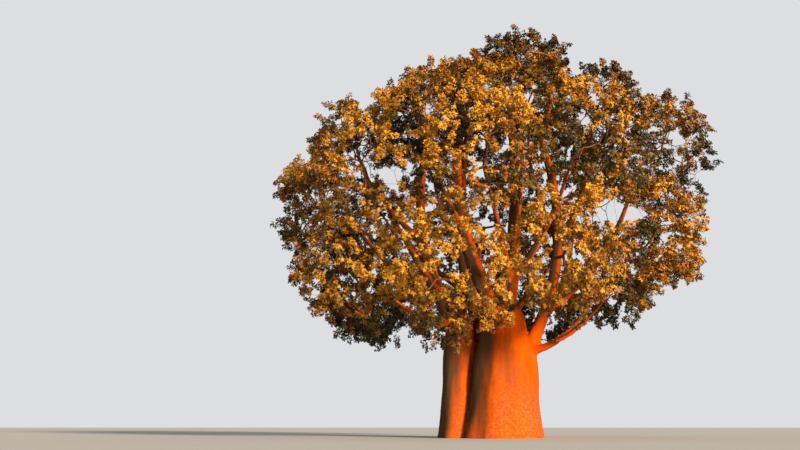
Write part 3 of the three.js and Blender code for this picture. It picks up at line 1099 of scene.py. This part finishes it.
# The ash is laid on the side that faces this way, which lies in shade, so it is partly weathering and partly
# painted shade. The limbs in the crown, where shade falls, get it on much more of their surface, the left
# stem gets more and the foot less.
WEATHER_AND_SHADE_SIDE = Vector((-1, -0.27, 0)).normalized()
WEATHER_SHADE_SCALE = Vector((1.1, 1.1, 0.35))
WEATHER_SHADE_PATCHES = 0.22
WEATHER_SHADE_FROM = 0.52
WEATHER_SHADE_BLEND = 0.3
LEFT_STEM_PAINTED_SHADE = 0.41
LIMBS_FROM = 5.0
LIMB_WEATHER_SHADE_FROM = -0.15
LIMB_BLEND = 1.5
FOOT_HEIGHT = 2.8
FOOT_LESS_WEATHER_SHADE = 0.35


def stem_distance(stem, place):
    """How far outside a stem a place is, measured level."""
    offset = place - stem.axis(place.z)
    return offset.xy.length - stem.radius(place.z, math.atan2(offset.y, offset.x))


def seam_at(place):
    """How deep in the seam between two stems a place is: up to 1 midway, and less towards the ground."""
    near = sorted(stem_distance(stem, place) for stem in STEMS.values() if place.z < stem.height)
    if len(near) < 2:
        return 0.0
    apart = (near[1] - near[0]) / SEAM_WIDTH
    return math.exp(-(apart**2)) * min(1.0, place.z / SEAM_FADE + SEAM_AT_GROUND)


def trunk_share(place):
    """How much of the trunk's relief a place gets: all on the trunk, less on the limbs."""
    above = max(0.0, place.z - TRUNK_TOP) * ABOVE_TRUNK
    out = Vector((place.x, place.y - TRUNK_MIDDLE, above)).length
    return lerp(LIMB_RELIEF, 1, clamp(TRUNK_REACH - out))


def relief_at(place, settings):
    """How far the bark stands out at a place, and how much shade is painted there in the bottom of a fold or
    a seam between stems.
    """
    share = trunk_share(place)
    folds = place * FOLD_SCALE
    fold = noise.noise(folds) + FINER_FOLD_SHARE * noise.noise(folds * FINER_FOLDS)
    lump = noise.noise(place * LUMP_SCALE) * LUMP_DEPTH
    wrinkle = max(0.0, 1 - abs(noise.noise(place * WRINKLE_SCALE)) * WRINKLE_SHARPNESS)
    crease = wrinkle * settings.wrinkle_depth * lerp(WRINKLES_ON_LIMBS, 1, share)
    seam = seam_at(place)
    height = share * (fold * settings.fold_depth + lump) - crease - seam * SEAM_DEPTH
    # painted shade in the bottoms of the folds and in the seams
    hollow = clamp(-share * fold * settings.fold_depth / HOLLOW_SHADE_DEPTH - HOLLOW_SHADE_FROM)
    return height, max(hollow, seam * SEAM_PAINTED_SHADE)


def weathering_and_painted_shade_at(place, normal):
    """How much ash the bark gets, partly as weathering and partly as painted shade: most on the side that
    lies in shade, in patches drawn out upwards.
    """
    facing = normal.dot(WEATHER_AND_SHADE_SIDE) + WEATHER_SHADE_PATCHES * noise.noise(place * WEATHER_SHADE_SCALE)
    limb = clamp((place.z - LIMBS_FROM) / LIMB_BLEND)
    foot = clamp(1 - place.z / FOOT_HEIGHT) * FOOT_LESS_WEATHER_SHADE
    on_left_stem = stem_distance(STEMS["left"], place) < stem_distance(STEMS["main"], place)
    # painted shade: more ash on the left stem and on the limbs, and less at the foot
    start = lerp(WEATHER_SHADE_FROM, LIMB_WEATHER_SHADE_FROM, limb) + foot - LEFT_STEM_PAINTED_SHADE * on_left_stem
    return clamp((facing - start) / WEATHER_SHADE_BLEND)


def add_relief(bm, settings):
    """Moves every vertex by the bark's relief, and keeps how much painted shade its folds and seams get and
    how much ash it gets as weathering and painted shade.
    """
    hollow = bm.verts.layers.float.new("hollow")
    weather = bm.verts.layers.float.new("weather")
    moves = []
    for vert in bm.verts:
        # the relief, and the painted shade in the folds and seams
        height, vert[hollow] = relief_at(vert.co, settings)
        # ash as weathering and painted shade on the shaded side
        vert[weather] = weathering_and_painted_shade_at(vert.co, vert.normal)
        moves.append(vert.normal * height)
    for vert, move in zip(bm.verts, moves):
        vert.co += move


class BAOBAB_OT_grow_bark(bpy.types.Operator):
    """Grow the trunk and boughs as one skin with the bark's relief"""

    bl_idname = "baobab.grow_bark"
    bl_label = "Grow bark"

    def execute(self, context):
        settings = context.scene.baobab_bark
        bm = bmesh.new()
        bm.from_mesh(fused(overlapping_limbs(), settings.voxel))
        smooth(bm)
        add_relief(bm, settings)
        cut_at_ground(bm)
        mesh = bpy.data.meshes.new("tree_bark")
        bm.to_mesh(mesh)
        bm.free()
        mesh.shade_smooth()
        add_piece("tree_bark", mesh, bark_material(settings), LIMB_NODES)
        return {"FINISHED"}


# Twigs

THICK_TWIG = 0.07
MIDDLING_TWIG = 0.04
NEARLY_UPRIGHT = 1e-4


def twig_sides(radius):
    """How many sides a twig needs, from the half width at its root."""
    if radius > THICK_TWIG:
        return 6
    return 4 if radius > MIDDLING_TWIG else 3


def twig_corners(twig, sides):
    """The corners of a twig's outlines, one outline at each station."""
    places = np.array(twig.places)
    along = np.vstack([places[1:], places[-1:]]) - np.vstack([places[:1], places[:-1]])
    along /= np.linalg.norm(along, axis=1)[:, None]
    side = np.cross(along[0], (0.0, 0.0, 1.0))
    if np.linalg.norm(side) < NEARLY_UPRIGHT:
        side = np.array((1.0, 0.0, 0.0))
    turns = np.arange(sides) * FULL_TURN / sides
    corners = []
    for place, direction, radius in zip(places, along, twig.radii):
        side = side - direction * side.dot(direction)
        side /= np.linalg.norm(side)
        other = np.cross(direction, side)
        corners.append(place + radius * (np.outer(np.cos(turns), side) + np.outer(np.sin(turns), other)))
    return np.vstack(corners)


def twig_triangles(stations, sides):
    """The triangles of a twig with so many stations: its walls and its two ends."""
    first = np.arange(sides)
    after = (first + 1) % sides
    faces = []
    for low in range(0, (stations - 1) * sides, sides):
        high = low + sides
        faces.append(np.stack([low + first, low + after, high + after], axis=1))
        faces.append(np.stack([low + first, high + after, high + first], axis=1))
    fan = np.arange(1, sides - 1)
    hub = np.zeros_like(fan)
    faces.append(np.stack([hub, fan + 1, fan], axis=1))
    faces.append((stations - 1) * sides + np.stack([hub, fan, fan + 1], axis=1))
    return np.vstack(faces)


class BAOBAB_OT_grow_twigs(bpy.types.Operator):
    """Grow the limbs and twigs inside every mass of foliage"""

    bl_idname = "baobab.grow_twigs"
    bl_label = "Grow twigs"

    def execute(self, context):
        twigs, _ = grow_crown(context.scene.baobab_foliage)
        points = []
        triangles = []
        count = 0
        for twig in twigs:
            sides = twig_sides(twig.radii[0])
            points.append(twig_corners(twig, sides))
            triangles.append(twig_triangles(len(twig.places), sides) + count)
            count += len(points[-1])
        mesh = mesh_of_triangles("crown_twigs", np.vstack(points), np.vstack(triangles))
        mesh.shade_smooth()
        add_piece("crown_twigs", mesh, twig_material(context.scene.baobab_bark), FOLIAGE_NODES)
        return {"FINISHED"}


# Leaves: several hand-shaped ones on each spray

PETIOLE = (0.08, 0.17)
PETIOLE_WIDTH = 0.012
OPEN_ROOT = 80
OPEN_TIP = 20
TURN_STRAY = 0.3
STEEP = 0.9
FACING_STALK = 0.3
FACING_OUT = 0.45
FACING_UP = np.array((0, 0, 0.35))
FACING_WANDER = 0.42
LEAFLET_TURNS = (-112, -56, 0, 56, 112)
LEAFLET_SIZES = (0.72, 0.92, 1.0, 0.92, 0.72)
LEAFLET_RANGE = (0.75, 1.15)
LEAFLET_WIDTH = 0.58
LEAFLET_SHOULDER = 0.58
LEAFLET_FOLD = 0.12
LEAFLET_CORNERS = 3
DROOP = (-15, 62)
TWIST = 0.2
LEAF_SEED = 41
PROUD_SHARE = 0.027


def unit(vectors):
    return vectors / np.linalg.norm(vectors, axis=-1, keepdims=True)


def leaf_stalks(sprays, each, rng):
    """The root and the direction of every leaf's stalk, and the number of the spray it grows on."""
    tips = np.array([spray.tip for spray in sprays])
    shoots = np.array([spray.shoot for spray in sprays])
    owner = np.repeat(np.arange(len(sprays)), each)
    order = np.tile(np.arange(each), len(sprays))
    heading = np.array([spray.heading for spray in sprays])[owner]
    helper = np.where(np.abs(heading[:, 2:3]) < STEEP, (0.0, 0.0, 1.0), (1.0, 0.0, 0.0))
    side = unit(np.cross(heading, helper))
    other = np.cross(heading, side)
    turn = rng.uniform(0, FULL_TURN, len(sprays))[owner] + GOLDEN_TURN * order
    turn += rng.uniform(-TURN_STRAY, TURN_STRAY, len(owner))
    share = (order + rng.uniform(0, 1, len(owner))) / each
    opening = np.radians(lerp(OPEN_ROOT, OPEN_TIP, share))
    across = np.cos(turn)[:, None] * side + np.sin(turn)[:, None] * other
    stalk = np.sin(opening)[:, None] * across + np.cos(opening)[:, None] * heading
    root = tips[owner] - heading * (shoots[owner] * (1 - share))[:, None]
    return owner, root, stalk


def leaf_facings(outs, stalk, rng):
    """The way that every leaf faces, and the way that its middle leaflet points."""
    wander = rng.normal(0, FACING_WANDER, stalk.shape)
    facing = unit(FACING_STALK * stalk + FACING_OUT * outs + FACING_UP + wander)
    forward = unit(stalk - facing * np.sum(stalk * facing, axis=1, keepdims=True))
    return facing, forward


def leaf_corners(root, hub, facing, forward, size, rng):
    """Corners of every leaf: a stalk's two corners, the hub, and three corners for each leaflet."""
    beside = np.cross(facing, forward)
    stalk_side = unit(np.cross(hub - root, facing)) * PETIOLE_WIDTH / 2
    corners = [root + stalk_side, root - stalk_side, hub]
    spread = math.atan(LEAFLET_WIDTH / 2 / LEAFLET_SHOULDER)
    shoulder = math.hypot(LEAFLET_WIDTH / 2, LEAFLET_SHOULDER)
    for turn, share in zip(LEAFLET_TURNS, LEAFLET_SIZES):
        length = (size * share)[:, None]
        droop = np.radians(rng.uniform(*DROOP, len(size)))[:, None]
        twist = rng.uniform(-TWIST, TWIST, len(size))[:, None]
        for offset, reach, lift in (
            (-spread, shoulder, LEAFLET_FOLD - twist), (0, 1, 0), (spread, shoulder, LEAFLET_FOLD + twist)
        ):
            angle = math.radians(turn) + offset
            flat = math.cos(angle) * forward + math.sin(angle) * beside
            fall = reach * reach * np.sin(droop) - lift
            corners.append(hub + length * (flat * reach * np.cos(droop) - facing * fall))
    return np.stack(corners, axis=1)


def leaf_triangles(count, corners_each):
    """Triangles of some leaves, as corner numbers: each has a stalk, and two halves of each leaflet."""
    stalk = (0, 1, 2)
    hub = 2
    pattern = [stalk]
    for leaflet in range(len(LEAFLET_TURNS)):
        left = len(stalk) + leaflet * LEAFLET_CORNERS
        pattern += [(hub, left, left + 1), (hub, left + 1, left + 2)]
    return np.array(pattern)[None] + (np.arange(count) * corners_each)[:, None, None]


def within_reach(leaves):
    """Whether each leaf keeps to the CAD model's box, give or take what leaves may stand proud."""
    low, high = (np.array(corner) for corner in CAD_BOX)
    proud = (high - low) * PROUD_SHARE
    return np.all((leaves > low - proud) & (leaves < high + proud), axis=(1, 2))


# Tints of the leaves, from the darkest to the lightest, dealt out by how light each spray's place is: partly
# the leaves' own tints, partly painted light and shade

TINTS = ("dusk", "moss", "olive", "amber", "ochre", "gold")
TINT_SHARES = (0.14, 0.18, 0.24, 0.15, 0.17, 0.12)
# A leaf's tint is its spray's, or so many tints darker or lighter, drawn from these
TINT_STRAYS = (-2, -1, -1, 0, 0, 0, 0, 0, 1, 1)
# The score paints light on sprays towards this way, outside their mass, high in it and high in their clump,
# and shade on the others; the clump noise mixes the tints at random.
SUNNY = Vector((-0.1, -0.6, 0.5)).normalized()
SUNNY_WEIGHT = 0.4
DEPTH_WEIGHT = 0.4
CREST_WEIGHT = 0.75
LIFT_WEIGHT = 0.3
CLUMP_LIFT = 0.5
CLUMP_MOOD_SCALE = 0.34
CLUMP_MOOD = 2.0
SPRAY_MOOD = 0.16
# Some masses are painted darker or lighter as a whole, as painted shade and painted light
MASS_PAINTED_LIGHT_AND_SHADE = {
    "low_front_left": -0.1, "low_front": 1.0, "low_front_right": 1.2, "low_right": 0.6, "low_left": -0.7,
    "middle_right": -0.4, "middle_front": 0.4, "middle_front_left": 0.6,
    "high_left": -1.0, "high_front_left": -0.4, "high_front_right": -0.1, "high_right": -0.6,
    "top_left": -0.8, "top_front_left": -1.1, "top_front_right": -0.9, "top_right": -0.9,
}


def painted_lightness(spray):
    """How light a spray's leaves are painted: painted light outside, on top and towards the light, painted
    shade inside and underneath, and mixed by clump and by mass.
    """
    mass = spray.mass
    sunny = (spray.tip - HEART).normalized().dot(SUNNY)
    depth = (spray.tip - mass.middle).dot(mass.out) / mass.radius
    crest = (spray.tip.z - mass.middle.z) / mass.radius
    lift = (spray.tip.z - spray.clump.z) / CLUMP_LIFT
    mood = noise.noise(spray.clump * CLUMP_MOOD_SCALE) * CLUMP_MOOD + MASS_PAINTED_LIGHT_AND_SHADE.get(mass.name, 0)
    return sunny * SUNNY_WEIGHT + depth * DEPTH_WEIGHT + crest * CREST_WEIGHT + lift * LIFT_WEIGHT + mood


def deal_tints(sprays, rng):
    """The number of a tint for every spray, so that each tint gets its share of them."""
    score = np.array([painted_lightness(spray) for spray in sprays])
    score += rng.normal(0, SPRAY_MOOD, len(sprays))
    ranks = np.argsort(np.argsort(score)) / len(score)
    return np.searchsorted(np.cumsum(TINT_SHARES)[:-1], ranks, side="right")


class BAOBAB_OT_grow_leaves(bpy.types.Operator):
    """Grow the leaves on every spray, joined into one piece for each tint"""

    bl_idname = "baobab.grow_leaves"
    bl_label = "Grow leaves"

    def execute(self, context):
        settings = context.scene.baobab_foliage
        _, sprays = grow_crown(settings)
        rng = np.random.default_rng(LEAF_SEED)
        # tints from dark to light, which paint shade and light over the crown
        tints = deal_tints(sprays, rng)
        owner, root, stalk = leaf_stalks(sprays, settings.leaves, rng)
        hub = root + stalk * rng.uniform(*PETIOLE, len(owner))[:, None]
        outs = unit(np.array([spray.tip for spray in sprays]) - np.array(HEART))
        facing, forward = leaf_facings(outs[owner], stalk, rng)
        leaf_tints = np.clip(tints[owner] + rng.choice(TINT_STRAYS, len(owner)), 0, len(TINTS) - 1)
        size = settings.leaflet * rng.uniform(*LEAFLET_RANGE, len(owner))
        leaves = leaf_corners(root, hub, facing, forward, size, rng)
        kept = ~in_ragged_window(hub) & within_reach(leaves)
        for index, name in enumerate(TINTS):
            chosen = leaves[kept & (leaf_tints == index)]
            triangles = leaf_triangles(*chosen.shape[:2])
            mesh = mesh_of_triangles(f"leaves_{name}", chosen.reshape(-1, 3), triangles)
            material = leaf_material(name, getattr(settings, name))
            add_piece(f"leaves_{name}", mesh, material, FOLIAGE_NODES)
        return {"FINISHED"}


# Stage

FLOOR_SIZE = 600
FLOOR_ROUGHNESS = 0.9
LENS = 40
CAMERA_RISE = 12.76
CAMERA_TURN = 5.9
CAMERA_SIGHT = 1000
KEY_PLACE = Vector((27, -35, 18))
KEY_AIM = Vector((0, 0, 8))
KEY_SOFTNESS = 11


def add_floor(scene, settings):
    """A wide plain pale floor."""
    bm = bmesh.new()
    bmesh.ops.create_grid(bm, x_segments=1, y_segments=1, size=FLOOR_SIZE / 2)
    mesh = bpy.data.meshes.new("floor")
    bm.to_mesh(mesh)
    bm.free()
    material = bpy.data.materials.new("Floor")
    material.use_nodes = True
    shader = material.node_tree.nodes["Principled BSDF"]
    shader.inputs["Base Color"].default_value = (*settings.floor_colour, 1)
    shader.inputs["Roughness"].default_value = FLOOR_ROUGHNESS
    mesh.materials.append(material)
    floor = bpy.data.objects.new("floor", mesh)
    scene.collection.objects.link(floor)


def add_lights(scene, settings):
    """A soft warm key from the front right, and even light from all sides."""
    lamp = bpy.data.lights.new("key", "SUN")
    lamp.angle = math.radians(KEY_SOFTNESS)
    lamp.energy = settings.key_power
    lamp.color = settings.key_colour
    key = bpy.data.objects.new("key", lamp)
    key.location = KEY_PLACE
    key.rotation_euler = (KEY_AIM - KEY_PLACE).to_track_quat("-Z", "Y").to_euler()
    scene.collection.objects.link(key)
    scene.world = room_world(settings)
    scene.view_settings.view_transform = "Standard"


def room_world(settings):
    """Even light from all sides, and a paler plain backdrop where the camera sees past the floor."""
    world = bpy.data.worlds.new("Studio")
    world.use_nodes = True
    tree = world.node_tree
    room = tree.nodes["Background"]
    feed(tree, settings.room_colour, room.inputs["Color"])
    feed(tree, settings.sky_strength, room.inputs["Strength"])
    backdrop = tree.nodes.new("ShaderNodeBackground")
    feed(tree, settings.backdrop_colour, backdrop.inputs["Color"])
    seen = tree.nodes.new("ShaderNodeLightPath")
    either = tree.nodes.new("ShaderNodeMixShader")
    tree.links.new(seen.outputs["Is Camera Ray"], either.inputs["Fac"])
    tree.links.new(room.outputs["Background"], either.inputs[1])
    tree.links.new(backdrop.outputs["Background"], either.inputs[2])
    tree.links.new(either.outputs["Shader"], tree.nodes["World Output"].inputs["Surface"])
    return world


def add_camera(scene):
    """A camera at the usual view: low in front, looking up at the crown."""
    lens = bpy.data.cameras.new("camera")
    lens.lens = LENS
    lens.clip_end = CAMERA_SIGHT
    camera = bpy.data.objects.new("camera", lens)
    camera.location = VIEWPOINT
    camera.rotation_euler = (math.radians(90 + CAMERA_RISE), 0, math.radians(CAMERA_TURN))
    scene.collection.objects.link(camera)
    scene.camera = camera


class BAOBAB_OT_set_stage(bpy.types.Operator):
    """Set the pale floor, the soft light and the camera"""

    bl_idname = "baobab.set_stage"
    bl_label = "Set stage"

    def execute(self, context):
        settings = context.scene.baobab_stage
        add_floor(context.scene, settings)
        add_lights(context.scene, settings)
        add_camera(context.scene)
        return {"FINISHED"}


# The add-on's panel, and its run as a script

OPERATORS = (BAOBAB_OT_grow_bark, BAOBAB_OT_grow_twigs, BAOBAB_OT_grow_leaves, BAOBAB_OT_set_stage)
SETTINGS = {"baobab_bark": BaobabBark, "baobab_foliage": BaobabFoliage, "baobab_stage": BaobabStage}


class VIEW3D_PT_baobab(bpy.types.Panel):
    """The pieces of the baobab, in the order in which they are made, and their settings."""

    bl_label = "Baobab"
    bl_space_type = "VIEW_3D"
    bl_region_type = "UI"
    bl_category = "Baobab"

    def draw(self, context):
        for operator in OPERATORS:
            self.layout.operator(operator.bl_idname)
        for name, group in SETTINGS.items():
            for setting in group.__annotations__:
                self.layout.prop(getattr(context.scene, name), setting)


def register():
    for group in (*SETTINGS.values(), *OPERATORS, VIEW3D_PT_baobab):
        bpy.utils.register_class(group)
    for name, group in SETTINGS.items():
        setattr(bpy.types.Scene, name, PointerProperty(type=group))


def unregister():
    for name in SETTINGS:
        delattr(bpy.types.Scene, name)
    for group in (VIEW3D_PT_baobab, *reversed(OPERATORS), *reversed(SETTINGS.values())):
        bpy.utils.unregister_class(group)


def main():
    register()
    bpy.ops.baobab.grow_bark()
    bpy.ops.baobab.grow_twigs()
    bpy.ops.baobab.grow_leaves()
    bpy.ops.baobab.set_stage()


if __name__ == "__main__":
    main()
